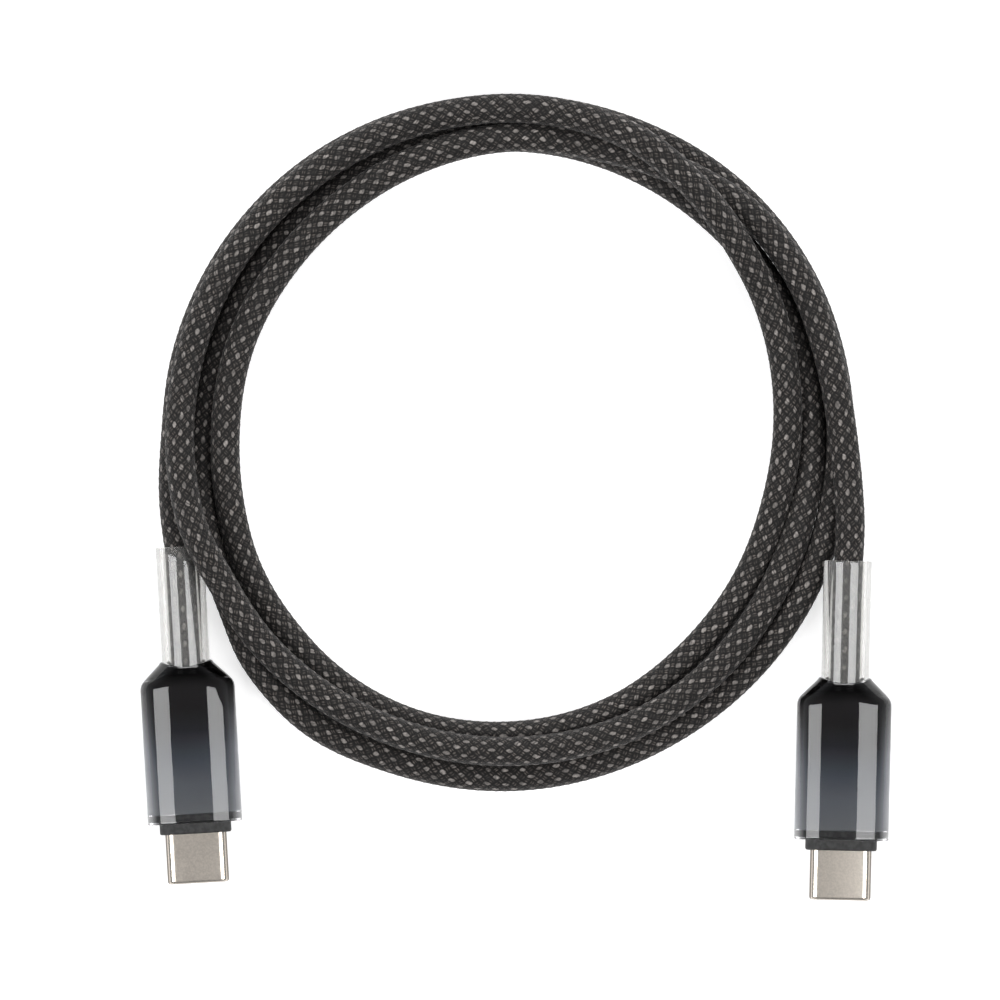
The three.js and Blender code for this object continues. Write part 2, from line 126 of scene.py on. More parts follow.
# The yarns' colours, from the darkest to the palest of their mottle, and the painted shade in the
# gaps between black yarns and in the furrows between a grey fleck's strands.
BLACK_YARN = [(0.3, (0.03, 0.026, 0.0235, 1)), (0.7, (0.183, 0.16, 0.145, 1))]
PALE_YARN = [(0.3, (0.122, 0.112, 0.105, 1)), (0.7, (0.345, 0.317, 0.298, 1))]
SHADE_BETWEEN_BLACK_YARNS = (0.0035, 0.003, 0.0028, 1)
SHADE_BETWEEN_PALE_STRANDS = (0.02, 0.018, 0.017, 1)


# ---- node helpers -------------------------------------------------------------------------

class Look:
    """A procedural material under construction."""

    def __init__(self, name):
        self.material = bpy.data.materials.new(name)
        self.material.use_nodes = True
        self.tree = self.material.node_tree
        self.shader = self.tree.nodes["Principled BSDF"]

    def node(self, kind, **settings):
        made = self.tree.nodes.new("ShaderNode" + kind)
        for key, value in settings.items():
            setattr(made, key, value)
        return made

    def feed(self, socket, value):
        if isinstance(value, bpy.types.NodeSocket):
            self.tree.links.new(value, socket)
        else:
            socket.default_value = value

    def math(self, operation, first, second=0.0, third=0.0):
        made = self.node("Math", operation=operation)
        for socket, value in zip(made.inputs, (first, second, third)):
            self.feed(socket, value)
        return made.outputs[0]

    def mix(self, share, first, second, blend="MIX"):
        """A colour between two others."""
        made = self.node("Mix", data_type="RGBA", blend_type=blend)
        self.feed(made.inputs[0], share)
        self.feed(made.inputs[6], first)
        self.feed(made.inputs[7], second)
        return made.outputs[2]

    def between(self, share, first, second):
        """A number between two others."""
        made = self.node("Mix", data_type="FLOAT")
        self.feed(made.inputs[0], share)
        self.feed(made.inputs[2], first)
        self.feed(made.inputs[3], second)
        return made.outputs[0]

    def product(self, first, *others):
        for other in others:
            first = self.math("MULTIPLY", first, other)
        return first

    def ramp(self, value, stops, smooth=True):
        made = self.node("ValToRGB")
        if smooth:
            made.color_ramp.interpolation = "EASE"
        elements = made.color_ramp.elements
        while len(elements) < len(stops):
            elements.new(0.5)
        for element, (place, colour) in zip(elements, stops):
            element.position = place
            element.color = colour
        self.feed(made.inputs[0], value)
        return made.outputs[0]

    def span(self, value, low, high, to_low=0.0, to_high=1.0):
        """A value's place between low and high, held there, as a number from to_low to to_high."""
        made = self.node("MapRange")
        for socket, number in zip(made.inputs, (value, low, high, to_low, to_high)):
            self.feed(socket, number)
        return made.outputs[0]

    def noise(self, scale, detail=3.0, stretch=None):
        made = self.node("TexNoise")
        made.inputs["Scale"].default_value = scale
        made.inputs["Detail"].default_value = detail
        vector = self.node("TexCoord").outputs["Object"]
        if stretch:
            mapping = self.node("Mapping")
            mapping.inputs["Scale"].default_value = stretch
            self.feed(mapping.inputs["Vector"], vector)
            vector = mapping.outputs[0]
        self.feed(made.inputs["Vector"], vector)
        return made.outputs[0]

    def bump(self, height, distance, strength=1.0):
        made = self.node("Bump")
        made.inputs["Strength"].default_value = strength
        made.inputs["Distance"].default_value = distance
        self.feed(made.inputs["Height"], height)
        self.feed(self.shader.inputs["Normal"], made.outputs[0])

    def set(self, **values):
        for key, value in values.items():
            self.feed(self.shader.inputs[key.replace("_", " ")], value)


def grey(level, blue=1.0):
    return (level, level, level * blue, 1)


# ---- mesh helpers -------------------------------------------------------------------------

def add_piece(name, vertices, faces, look, replaced):
    """Makes a smooth-shaded piece that rides on the cable and stands for CAD nodes."""
    mesh = bpy.data.meshes.new(name)
    mesh.from_pydata([tuple(v) for v in vertices], [], faces)
    mesh.validate()
    mesh.polygons.foreach_set("use_smooth", [True] * len(mesh.polygons))
    mesh.materials.append(look.material)
    piece = bpy.data.objects.new(name, mesh)
    bpy.context.scene.collection.objects.link(piece)
    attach(piece, BODY)
    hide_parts(*replaced)
    return piece


def band_faces(rings, around, closed=False):
    """Quads between neighbouring rings of points; closed also joins the last to the first."""
    faces = []
    for ring in range(rings if closed else rings - 1):
        low = ring * around
        high = (ring + 1) % rings * around
        for k in range(around):
            after = (k + 1) % around
            faces.append((low + k, low + after, high + after, high + k))
    return faces


def crease(piece, degrees):
    """Splits the shading at edges sharper than an angle."""
    bpy.context.view_layer.objects.active = piece
    piece.select_set(True)
    bpy.ops.object.shade_smooth_by_angle(angle=math.radians(degrees))
    piece.select_set(False)


# ---- camera and light ---------------------------------------------------------------------

VIEW_CENTRE = (-2.13 * MM, 29.92 * MM)
VIEW_WIDTH = 134.2 * MM
# The height at which the view is that wide.
VIEW_WIDTH_HEIGHT = 3 * MM
CAMERA_HEIGHT = 2.5
CAMERA_CLIP = (0.01, 20)
SENSOR = 36.0


def make_camera():
    """A camera straight above the cable, far enough away to see it nearly without perspective."""
    data = bpy.data.cameras.new("camera")
    data.sensor_width = SENSOR
    data.lens = SENSOR * (CAMERA_HEIGHT - VIEW_WIDTH_HEIGHT) / VIEW_WIDTH
    data.clip_start, data.clip_end = CAMERA_CLIP
    camera = bpy.data.objects.new("camera", data)
    camera.location = (*VIEW_CENTRE, CAMERA_HEIGHT)
    bpy.context.scene.collection.objects.link(camera)
    bpy.context.scene.camera = camera


LIGHT_DISTANCE = 0.9
# Each softbox: the turn about +Z to where it stands, from +X, its angle from straight up, and
# half of what it spans in that angle and across it, all in degrees; its lean towards -Y, as a
# share of its distance; and its radiance.
SOFTBOXES = {
    "left_softbox": (180, 39.0, 17.5, 11.0, 0.14, 8.0),
    "right_softbox": (0, 34.0, 18.5, 11.0, 0.14, 8.0),
    "back_softbox": (90, 62.0, 12.0, 24.0, 0.0, 5.0),
}

# Where the studio's light changes, from 0 at the horizon to 1 overhead, and its colour there.
STUDIO_LIGHT = [(0.1, (0.5, 0.51, 0.53, 1)), (0.75, (0.1, 0.1, 0.105, 1))]
FLOOR_HALF_WIDTH = 3.0
FLOOR_GAP = 0.05 * MM


def make_softbox(name, turn, polar, half_span, half_width, lean, radiance):
    """A rectangular softbox that faces the cable."""
    data = bpy.data.lights.new(name, "AREA")
    data.shape = "RECTANGLE"
    data.size = 2 * LIGHT_DISTANCE * math.tan(math.radians(half_span))
    data.size_y = 2 * LIGHT_DISTANCE * math.tan(math.radians(half_width))
    data.energy = radiance * math.pi * data.size * data.size_y
    box = bpy.data.objects.new(name, data)
    turn, polar = math.radians(turn), math.radians(polar)
    box.location = (
        LIGHT_DISTANCE * math.cos(turn) * math.sin(polar),
        LIGHT_DISTANCE * (math.sin(turn) * math.sin(polar) - lean),
        LIGHT_DISTANCE * math.cos(polar),
    )
    box.rotation_euler = (0, polar, turn)
    bpy.context.scene.collection.objects.link(box)


def make_studio():
    """A studio that is dark overhead and pale at its walls."""
    world = bpy.data.worlds.new("studio")
    world.use_nodes = True
    nodes, links = world.node_tree.nodes, world.node_tree.links
    direction = nodes.new("ShaderNodeTexCoord")
    split = nodes.new("ShaderNodeSeparateXYZ")
    ramp = nodes.new("ShaderNodeValToRGB")
    for element, (place, colour) in zip(ramp.color_ramp.elements, STUDIO_LIGHT):
        element.position = place
        element.color = colour
    links.new(direction.outputs["Generated"], split.inputs[0])
    links.new(split.outputs[2], ramp.inputs[0])
    links.new(ramp.outputs[0], nodes["Background"].inputs[0])
    bpy.context.scene.world = world


def make_lights():
    """The softboxes and the studio round them."""
    for name, shape in SOFTBOXES.items():
        make_softbox(name, *shape)
    make_studio()
    bpy.context.scene.view_settings.view_transform = "Standard"


def make_floor():
    """A white floor that glows a little, as a lit background does."""
    look = Look("floor_white")
    tone = look.ramp(look.noise(3.0), [(0.3, grey(0.58)), (0.7, grey(0.62))])
    look.set(Base_Color=tone, Roughness=0.75, Emission_Color=grey(1.0), Emission_Strength=0.68)
    half = FLOOR_HALF_WIDTH
    mesh = bpy.data.meshes.new("floor")
    corners = [(-half, -half, 0), (half, -half, 0), (half, half, 0), (-half, half, 0)]
    mesh.from_pydata(corners, [], [(0, 1, 2, 3)])
    mesh.materials.append(look.material)
    floor = bpy.data.objects.new("floor", mesh)
    floor.location.z = -FLOOR_GAP
    bpy.context.scene.collection.objects.link(floor)


# ---- the cord -----------------------------------------------------------------------------

def smooth_through(at, knots, values):
    """Values at places between knots, on smooth cubics."""
    steps = np.diff(knots)
    slopes = np.diff(values) / steps
    tangents = np.empty(len(values))
    tangents[0], tangents[-1] = slopes[0], slopes[-1]
    weighted = slopes[:-1] * steps[1:] + slopes[1:] * steps[:-1]
    tangents[1:-1] = weighted / (steps[1:] + steps[:-1])
    k = np.clip(np.searchsorted(knots, at) - 1, 0, len(knots) - 2)
    t = (at - knots[k]) / steps[k]
    return (
        (2 * t**3 - 3 * t**2 + 1) * values[k]
        + (t**3 - 2 * t**2 + t) * steps[k] * tangents[k]
        + (3 * t**2 - 2 * t**3) * values[k + 1]
        + (t**3 - t**2) * steps[k] * tangents[k + 1]
    )


def along(line):
    """How far along a line each of its points is."""
    return np.concatenate([[0], np.cumsum(np.linalg.norm(np.diff(line, axis=0), axis=1))])


def cord_line(step):
    """The cord's centreline, with points a step apart: lead A, the turns, then lead B."""
    lanes = np.array(LANES)
    angle = np.arange(lanes[0, 0], lanes[-1, 0], LANE_STEP_DEGREES)
    radius = smooth_through(angle, lanes[:, 0], lanes[:, 1] * MM)
    height = smooth_through(angle, lanes[:, 0], lanes[:, 2] * MM)
    turn = np.radians(angle)
    coil = np.stack(
        [
            COIL_CENTRE[0] + radius * np.sin(turn),
            COIL_CENTRE[1] + radius * np.cos(turn),
            height,
        ],
        axis=1,
    )
    # The lanes take over before the end of each lead.
    knots = np.concatenate([LEAD_A_ROUTE[:-2], coil, LEAD_B_ROUTE[:-3][::-1]])
    places = along(knots)
    fine = np.arange(0, places[-1], step / 2)
    line = np.stack([smooth_through(fine, places, knots[:, k]) for k in range(3)], axis=1)
    for _ in range(SMOOTHING_ROUNDS):
        line[1:-1] = 0.5 * line[1:-1] + 0.25 * (line[:-2] + line[2:])
    places = along(line)
    count = int(places[-1] / step)
    at = np.linspace(0, places[-1], count + 1)
    line = np.stack([np.interp(at, places, line[:, k]) for k in range(3)], axis=1)
    line[:, 2] = np.maximum(line[:, 2], CORD_DIAMETER / 2 + BRAID_RELIEF * (1 - RELIEF_INSIDE))
    return line


def carried_frames(line):
    """A side and an up vector at each point, carried along the line without twisting."""
    tangents = np.gradient(line, axis=0)
    tangents /= np.linalg.norm(tangents, axis=1)[:, None]
    ups = np.empty_like(line)
    up = np.array([0.0, 0.0, 1.0])
    for k, tangent in enumerate(tangents):
        up = up - (up @ tangent) * tangent
        up /= np.linalg.norm(up)
        ups[k] = up
    return np.cross(tangents, ups), ups


def braid_height(around, pitches):
    """How far each place stands up, from 0 in the gaps to 1 on a yarn's crown.

    Around is in turns and pitches counts how often a yarn has gone once round by there."""
    right = YARNS_EACH_WAY * (around - pitches)
    left = YARNS_EACH_WAY * (around + pitches)
    right_on_top = (np.round(right) + np.round(left)) % 2 == 0
    off_right = np.abs(right - np.round(right))
    off_left = np.abs(left - np.round(left))
    across = np.where(right_on_top, off_right, off_left)
    lengthways = np.where(right_on_top, off_left, off_right)
    crown = np.cos(np.pi * np.minimum(across, 0.5)) ** CROWN_POWER
    dip = np.cos(np.pi * np.minimum(lengthways, 0.5)) ** DIP_POWER
    return crown * dip


def map_lay(cord, around):
    """Maps the braid's lay: turns round the cord, and pitches along it."""
    lay = cord.data.uv_layers.new(name="braid")
    corners = np.zeros((len(cord.data.loops), 2), np.float32)
    index = np.empty(len(cord.data.loops), np.int32)
    cord.data.loops.foreach_get("vertex_index", index)
    corners[:, 0] = index % around / around
    corners[:, 1] = index // around / around
    # Between the two end caps are the quads, and those across the seam end at one whole turn.
    quads = np.arange(around, len(corners) - around).reshape(-1, 4)
    across_seam = corners[quads, 0].max(axis=1) - corners[quads, 0].min(axis=1) > 0.5
    for column in range(4):
        loops = quads[across_seam, column]
        corners[loops, 0] += corners[loops, 0] < 0.5
    lay.data.foreach_set("uv", corners.ravel())


def make_cord(look):
    """The braided cord as one tube, with the braid's relief in its surface, and its centreline."""
    around = YARNS_EACH_WAY * YARN_COLUMNS
    step = BRAID_PITCH / around
    line = cord_line(step)
    side, up = carried_frames(line)
    share = np.arange(around) / around
    pitches = np.arange(len(line)) * step / BRAID_PITCH
    relief = braid_height(share[None, :], pitches[:, None])
    radius = CORD_DIAMETER / 2 + BRAID_RELIEF * (relief - RELIEF_INSIDE)
    turn = 2 * np.pi * share
    sideways = np.cos(turn)[None, :, None] * side[:, None, :]
    spread = sideways + np.sin(turn)[None, :, None] * up[:, None, :]
    points = line[:, None, :] + radius[:, :, None] * spread
    faces = band_faces(len(line), around)
    first = tuple(reversed(range(around)))
    last = tuple((len(line) - 1) * around + k for k in range(around))
    cord = add_piece(
        "braided_cord",
        points.reshape(-1, 3),
        [first, *faces, last],
        look,
        ["cord_coil", "cord_lead_a", "cord_lead_b"],
    )
    map_lay(cord, around)
    return cord, line


def braid_look():
    """Black yarns both ways, with every second yarn of one way grey."""
    look = Look("braid")
    lay = look.node("UVMap", uv_map="braid")
    split = look.node("SeparateXYZ")
    look.feed(split.inputs[0], lay.outputs[0])
    around, pitches = split.outputs[0], split.outputs[1]
    wander = [
        look.span(look.noise(scale, 2.0), 0.3, 0.7, -LAY_WANDER, LAY_WANDER)
        for scale in WANDER_SCALES
    ]
    right, left = (
        look.math("MULTIPLY_ADD", look.math(way, around, pitches), YARNS_EACH_WAY, strayed)
        for way, strayed in zip(("SUBTRACT", "ADD"), wander)
    )
    right_yarn = look.math("ROUND", right)
    left_yarn = look.math("ROUND", left)
    parity = look.math("FLOORED_MODULO", look.math("ADD", right_yarn, left_yarn), 2.0)
    right_on_top = look.math("LESS_THAN", parity, 0.5)
    off_right = look.math("SUBTRACT", right, right_yarn)
    off_left = look.math("SUBTRACT", left, left_yarn)
    across = look.between(right_on_top, off_left, off_right)
    lengthways = look.between(right_on_top, off_right, off_left)
    furrow = look.product(across, 2 * math.pi * STRANDS_IN_YARN)
    strands = look.span(look.math("COSINE", look.math("ADD", furrow, math.pi)), -0.9, 0.7)
    # Edge and end mark where a cell darkens at its sides and at the ends of its float, where yarns
    # dip under each other: they give the painted shade and the bump.
    edge = look.span(look.math("ABSOLUTE", across), 0.2, 0.46, 1, 0)
    end = look.span(look.math("ABSOLUTE", lengthways), 0.06, 0.47, 1, 0)
    depth = look.product(edge, end)

    # A grey float shows as an oval along the cord, a little tilted.
    wide = look.product(look.math("ADD", off_right, off_left), 0.5 / FLECK_HALF_WIDTH)
    long = look.product(look.math("SUBTRACT", off_left, off_right), 0.5 / FLECK_HALF_LENGTH)
    wide = look.math("MULTIPLY_ADD", long, FLECK_TILT, wide)
    from_middle = look.math("ADD", look.product(wide, wide), look.product(long, long))
    fray = look.span(look.noise(2600.0, 2.0), 0.3, 0.7, -0.35, 0.35)
    fleck = look.span(look.math("ADD", from_middle, fray), 0.35, 1.5, 1, 0)
    every_second = look.math("FLOORED_MODULO", right_yarn, 2.0)
    is_grey = look.product(right_on_top, look.math("LESS_THAN", every_second, 0.5))

    # Each crossing has its own wear and its own shade.
    cell = look.node("CombineXYZ")
    look.feed(cell.inputs[0], right_yarn)
    look.feed(cell.inputs[1], left_yarn)
    chance = look.node("TexWhiteNoise")
    look.feed(chance.inputs["Vector"], cell.outputs[0])
    wear = look.span(chance.outputs[0], 0, 1, 0.5, 1)
    # Most flecks look whole; some show painted shade in the furrow between their strands.
    second_chance = look.math("FRACT", look.product(chance.outputs[0], 7.3))
    furrow_shade_floor = look.span(second_chance, 0.55, 0.95, 0.85, 0.3)
    share = look.product(is_grey, fleck, wear)

    mottle = look.noise(1500.0, 4.0)
    black = look.ramp(mottle, BLACK_YARN)
    pale = look.ramp(mottle, PALE_YARN)
    # Painted shade: black yarns darken in the furrows between their strands and in the gaps round
    # each cell, and each crossing is a little darker or lighter at random.
    lit = look.product(look.span(strands, 0, 1, 0.25, 1), look.span(depth, 0, 1, 0.05, 1))
    lit = look.product(look.math("POWER", lit, 1.4), look.span(second_chance, 0, 1, 0.4, 1))
    black = look.mix(lit, SHADE_BETWEEN_BLACK_YARNS, black)
    # Painted shade in the furrows between a grey fleck's strands.
    pale = look.mix(look.span(strands, 0, 1, furrow_shade_floor, 1), SHADE_BETWEEN_PALE_STRANDS, pale)
    colour = look.mix(share, black, pale)
    height = look.math("ADD", look.product(strands, 0.5), look.product(depth, 0.5))
    look.bump(height, YARN_BUMP, 0.8)
    look.set(Base_Color=colour, Roughness=look.span(mottle, 0.3, 0.7, 0.6, 0.85))
    look.set(Specular_IOR_Level=0.3, Sheen_Weight=0.06, Sheen_Roughness=0.5)
    return look


# ---- the connectors' frames ---------------------------------------------------------------

class Connector:
    """One connector's own frame, in millimetres: across it, along it from the plug's tip, and
    up from its axis."""

    def __init__(self, letter):
        self.letter = letter
        mount = next(m for m in frame["record"]["mounts"] if m["name"] == "plug_stop_" + letter)
        back = -Vector(mount["axis"]).normalized()
        self.axes = np.array([(back.y, -back.x, 0), back, (0, 0, 1)])
        points = self.vertices("plug_shell") @ self.axes.T
        low, high = points.min(axis=0), points.max(axis=0)
        middle = (low + high) / 2
        self.tip = np.array([middle[0], low[1], middle[2]]) @ self.axes

    def vertices(self, node):
        mesh = frame["nodes"][f"{node}_{self.letter}"].data
        return np.array([v.co for v in mesh.vertices])

    def box(self, node):
        """The lowest and highest corner of a CAD node in this frame."""
        local = (self.vertices(node) - self.tip) @ self.axes.T / MM
        return local.min(axis=0), local.max(axis=0)

    def place(self, points):
        """Points of this frame in the CAD frame."""
        return self.tip + np.asarray(points, float) * MM @ self.axes


# ---- shapes lofted along a connector ------------------------------------------------------

QUARTER_STEPS = 16
CORNER_STEPS = 5
CREASE_ANGLE = 32
WELD_DISTANCE = 0.002 * MM
# Millimetres of a connector's frame in one unit of its pieces' maps.
MAP_UNIT = 10


def section(half_width, half_height, corner_width, corner_height, fullness):
    """Points round a section whose four corners are parts of a superellipse."""
    turn = np.linspace(0, np.pi / 2, QUARTER_STEPS + 1)
    across = half_width - corner_width + corner_width * np.cos(turn) ** (2 / fullness)
    up = half_height - corner_height + corner_height * np.sin(turn) ** (2 / fullness)
    quarter = np.stack([across, up], axis=1)
    mirrored = quarter[::-1] * (-1, 1)
    return np.concatenate([quarter, mirrored, -quarter, -mirrored])


def rounded(stations):
    """Stations with each corner that has a rounding, its last number, replaced by an arc."""
    rows = [np.array(station, float) for station in stations]
    made = []
    for k, row in enumerate(rows):
        corner, cut = row[:-1], row[-1]
        if cut == 0 or k in (0, len(rows) - 1):
            made.append(corner)
            continue
        before, after = rows[k - 1][:-1], rows[k + 1][:-1]
        start = corner + (before - corner) * cut / np.linalg.norm((before - corner)[:2])
        end = corner + (after - corner) * cut / np.linalg.norm((after - corner)[:2])
        for t in np.linspace(0, 1, CORNER_STEPS):
            made.append((1 - t) ** 2 * start + 2 * t * (1 - t) * corner + t**2 * end)
    return made


def loft(name, connector, stations, look, replaced, closed=False, rise=None, bow=None):
    """A piece lofted through stations: along, half width, half height, corner width, corner
    height, fullness and rounding. A closed one is a wall that joins its last station to its
    first, and rise gives the height of its centreline at each place along it. A bow, from a
    start to an end along it, draws the end's top and bottom forward by a depth."""
    rings = []
    for along_it, *shape in rounded(stations):
        outline = section(*shape)
        lift = rise(along_it) if rise else 0
        column = np.full(len(outline), along_it)
        if bow:
            start, end, depth = bow
            share = max(0.0, (along_it - start) / (end - start))
            column -= depth * share * (outline[:, 1] / shape[1]) ** 2
        rings.append(np.stack([outline[:, 0], column, outline[:, 1] + lift], axis=1))
    around = len(rings[0])
    faces = band_faces(len(rings), around, closed=closed)
    if not closed:
        faces.append(tuple(reversed(range(around))))
        faces.append(tuple((len(rings) - 1) * around + k for k in range(around)))
    points = connector.place(np.concatenate(rings))
    piece = add_piece(f"{name}_{connector.letter}", points, faces, look, replaced)
    stations_map = piece.data.uv_layers.new(name="stations")
    index = np.empty(len(piece.data.loops), np.int32)
    piece.data.loops.foreach_get("vertex_index", index)
    flat = np.concatenate(rings)[index]
    stations_map.data.foreach_set("uv", (flat[:, :2] / MAP_UNIT).astype(np.float32).ravel())
    weld(piece)
    return piece


def weld(piece):
    """Joins points that coincide and turns every face outwards."""
    shape = bmesh.new()
    shape.from_mesh(piece.data)
    bmesh.ops.remove_doubles(shape, verts=shape.verts, dist=WELD_DISTANCE)
    bmesh.ops.recalc_face_normals(shape, faces=shape.faces)
    shape.to_mesh(piece.data)
    shape.free()
    crease(piece, CREASE_ANGLE)


# ---- the connectors' pieces ---------------------------------------------------------------

# Everything here is in millimetres, apart from the two fullnesses and the count of stations. An
# edge is the rounding of a corner of an outline.
ROUND = 2
SHELL_FULLNESS = 2.5
FIT_GAP = 0.1
# How far the core and the collar's flange reach into the shell that is moulded round them.
MOULDED_ON = 0.02

SHELL_WALL = 0.6
SHELL_RIM_INSET = 0.4
SHELL_RIM_EDGE = 0.25
SHOULDER_LENGTH = 3.0
SHOULDER_EDGE = 0.8
SHOULDER_WALL_STEP = 0.1
CAVITY_EDGE = 0.6
CAVITY_STEP = 0.2

# The neck's rim bows forward at top and bottom. At its start and at its back it has a half width,
# an amount that it is lower than the shell, and an edge.
NECK_BOW = 0.8
NECK_RIM_LENGTH = 0.35
NECK_RIM_START = (3.65, 0.12, 0.3)
NECK_RIM_BACK = (3.45, 0.3, 0.25)

CORE_FRONT_INSET = 0.6
CORE_FRONT_EDGE = 0.2
CORE_BACK_EDGE = 0.1
CORE_BORE = 1.6

BOSS_LENGTH = 1.75
BOSS_HALF_WIDTH = 4.8
BOSS_HALF_HEIGHT = 2.3
BOSS_CORNER = 1.6
BOSS_EDGE = 0.33
FLANGE_EDGE = 0.12

PLUG_WALL = 0.2
PLUG_LIP_EDGE = 0.42
PLUG_LIP_INSET = 0.12
PLUG_LIP_DEPTH = 0.35

RELIEF_BORE = 2.25
RELIEF_MOUTH_EDGE = 0.25
RELIEF_BORE_EDGE = 0.1
RELIEF_STATIONS = 9


def oval(along_it, half_width, half_height, fullness, rounding=0.0):
    """A station that is one whole superellipse."""
    return (along_it, half_width, half_height, half_width, half_height, fullness, rounding)


def bar(along_it, half_width, half_height, corner, rounding=0.0):
    """A station that is a rectangle with round corners."""
    return (along_it, half_width, half_height, corner, corner, ROUND, rounding)


def line_inside(piece, connector, look):
    """Gives a hollow piece's inward faces a material of their own."""
    piece.data.materials.append(look.material)
    axis = connector.axes[1]
    for face in piece.data.polygons:
        outwards = np.array(face.center) - connector.tip
        outwards -= (outwards @ axis) * axis
        if outwards @ np.array(face.normal) < 0:
            face.material_index = 1


def moulded_into_shell(connector):
    """Half the width and half the height of what the clear shell is moulded round."""
    high = connector.box("outer_shell")[1]
    return high[0] - SHELL_WALL + MOULDED_ON, high[2] - SHELL_WALL + MOULDED_ON


def make_shell(connector, look):
    """The clear outer shell: body, shoulders and neck outside, cavity and neck bore inside."""
    low, high = connector.box("outer_shell")
    relief = connector.box("strain_relief")[0][1]
    front, back = low[1], high[1]
    wide, tall = high[0], high[2]
    shoulder = back - SHOULDER_LENGTH
    bore = connector.box("strain_relief")[1][0] + FIT_GAP
    in_wide, in_tall = wide - SHELL_WALL, tall - SHELL_WALL
    seat = relief - FIT_GAP
    full = SHELL_FULLNESS
    start_wide, start_inset, start_edge = NECK_RIM_START
    back_wide, back_inset, back_edge = NECK_RIM_BACK
    stations = [
        oval(front, wide - SHELL_RIM_INSET, tall - SHELL_RIM_INSET, full),
        oval(front, wide, tall, full, SHELL_RIM_EDGE),
        oval(shoulder, wide, tall, full, SHOULDER_EDGE),
        oval(back - NECK_RIM_LENGTH, start_wide, tall - start_inset, ROUND, start_edge),
        oval(back, back_wide, tall - back_inset, ROUND, back_edge),
        oval(back, bore, bore, ROUND),
        oval(seat, bore, bore, ROUND),
        oval(seat, bore - CAVITY_STEP, in_tall, ROUND),
        oval(shoulder + SHOULDER_WALL_STEP, in_wide, in_tall, full, CAVITY_EDGE),
        oval(front, in_wide, in_tall, full),
    ]
    return loft("clear_shell", connector, stations, look,
                [f"outer_shell_{connector.letter}"], closed=True, bow=(shoulder, back, NECK_BOW))


def make_core(connector, look):
    """The dark core that the clear shell is moulded round."""
    front = connector.box("front_collar")[1][1] + MOULDED_ON
    back = connector.box("inner_core")[1][1] + FIT_GAP
    wide, tall = moulded_into_shell(connector)
    back_wide = connector.box("strain_relief")[1][0] - FIT_GAP
    shoulder = connector.box("outer_shell")[1][1] - SHOULDER_LENGTH + SHOULDER_WALL_STEP
    full = SHELL_FULLNESS
    stations = [
        oval(front, wide - CORE_FRONT_INSET, tall - CORE_FRONT_INSET, full),
        oval(front, wide, tall, full, CORE_FRONT_EDGE),
        oval(shoulder, wide, tall, full, CAVITY_EDGE),
        oval(back, back_wide, tall, ROUND, CORE_BACK_EDGE),
        oval(back, CORE_BORE, CORE_BORE, ROUND),
    ]
    return loft("graded_core", connector, stations, look,
                [f"inner_core_{connector.letter}"])


def make_collar(connector, look):
    """The black collar: a boss that stands out of the shell, and its flange inside the rim."""
    low, high = connector.box("front_collar")
    front, back = low[1], high[1]
    flange = front + BOSS_LENGTH
    wide, tall = moulded_into_shell(connector)
    plug = connector.box("plug_shell")[1]
    hole_wide, hole_tall = plug[0] + FIT_GAP, plug[2] + FIT_GAP
    stations = [
        bar(front, hole_wide, hole_tall, hole_tall),
        bar(front, BOSS_HALF_WIDTH, BOSS_HALF_HEIGHT, BOSS_CORNER, BOSS_EDGE),
        bar(flange, BOSS_HALF_WIDTH, BOSS_HALF_HEIGHT, BOSS_CORNER),
        oval(flange, wide, tall, SHELL_FULLNESS, FLANGE_EDGE),
        oval(back, wide, tall, SHELL_FULLNESS),
        bar(back, hole_wide, hole_tall, hole_tall),
    ]
    return loft("front_collar_visual", connector, stations, look,
                [f"front_collar_{connector.letter}"], closed=True)


def make_plug(connector, look):
    """The drawn steel plug shell, with its lip rolled in round the mouth."""
    low, high = connector.box("plug_shell")
    front, back = low[1], high[1]
    wide, tall = high[0], high[2]
    in_wide, in_tall = wide - PLUG_WALL, tall - PLUG_WALL
    lip_wide, lip_tall = in_wide - PLUG_LIP_INSET, in_tall - PLUG_LIP_INSET
    stations = [
        bar(back, wide, tall, tall),
        bar(front, wide, tall, tall, PLUG_LIP_EDGE),
        bar(front, lip_wide, lip_tall, lip_tall, PLUG_LIP_INSET / 2),
        bar(front + PLUG_LIP_DEPTH, in_wide, in_tall, in_tall, PLUG_WALL / 2),
        bar(back, in_wide, in_tall, in_tall),
    ]
    return loft("plug_shell_visual", connector, stations, look,
                [f"plug_shell_{connector.letter}"], closed=True)


def make_relief(connector, look, inside_look):
    """The clear sleeve over the cord, which bends up a little towards its mouth."""
    low, high = connector.box("strain_relief")
    start, end = low[1], high[1]
    radius = high[0]
    lift = high[2] - radius

    def rise(along_it):
        return lift * ((along_it - start) / (end - start)) ** 2

    def ring(along_it, size, rounding=0.0):
        return oval(along_it, size, size, ROUND, rounding)

    steps = np.linspace(start, end, RELIEF_STATIONS)
    outside = [ring(place, radius) for place in steps[:-1]]
    inside = [ring(place, RELIEF_BORE) for place in steps[-2::-1]]
    stations = [
        *outside,
        ring(end, radius, RELIEF_MOUTH_EDGE),
        ring(end, RELIEF_BORE, RELIEF_BORE_EDGE),
        *inside,
    ]
    piece = loft("clear_sleeve", connector, stations, look,
                 [f"strain_relief_{connector.letter}"], closed=True, rise=rise)
    line_inside(piece, connector, inside_look)
    return piece


# ---- materials ----------------------------------------------------------------------------

# Places along a connector, in millimetres from the plug's tip: where the clear shell darkens to
# its neck, and where the core's colours run from and to.
SMOKED_FROM_TO = (26.4, 28.0)
CORE_FROM_TO = (9.4, 28.2)
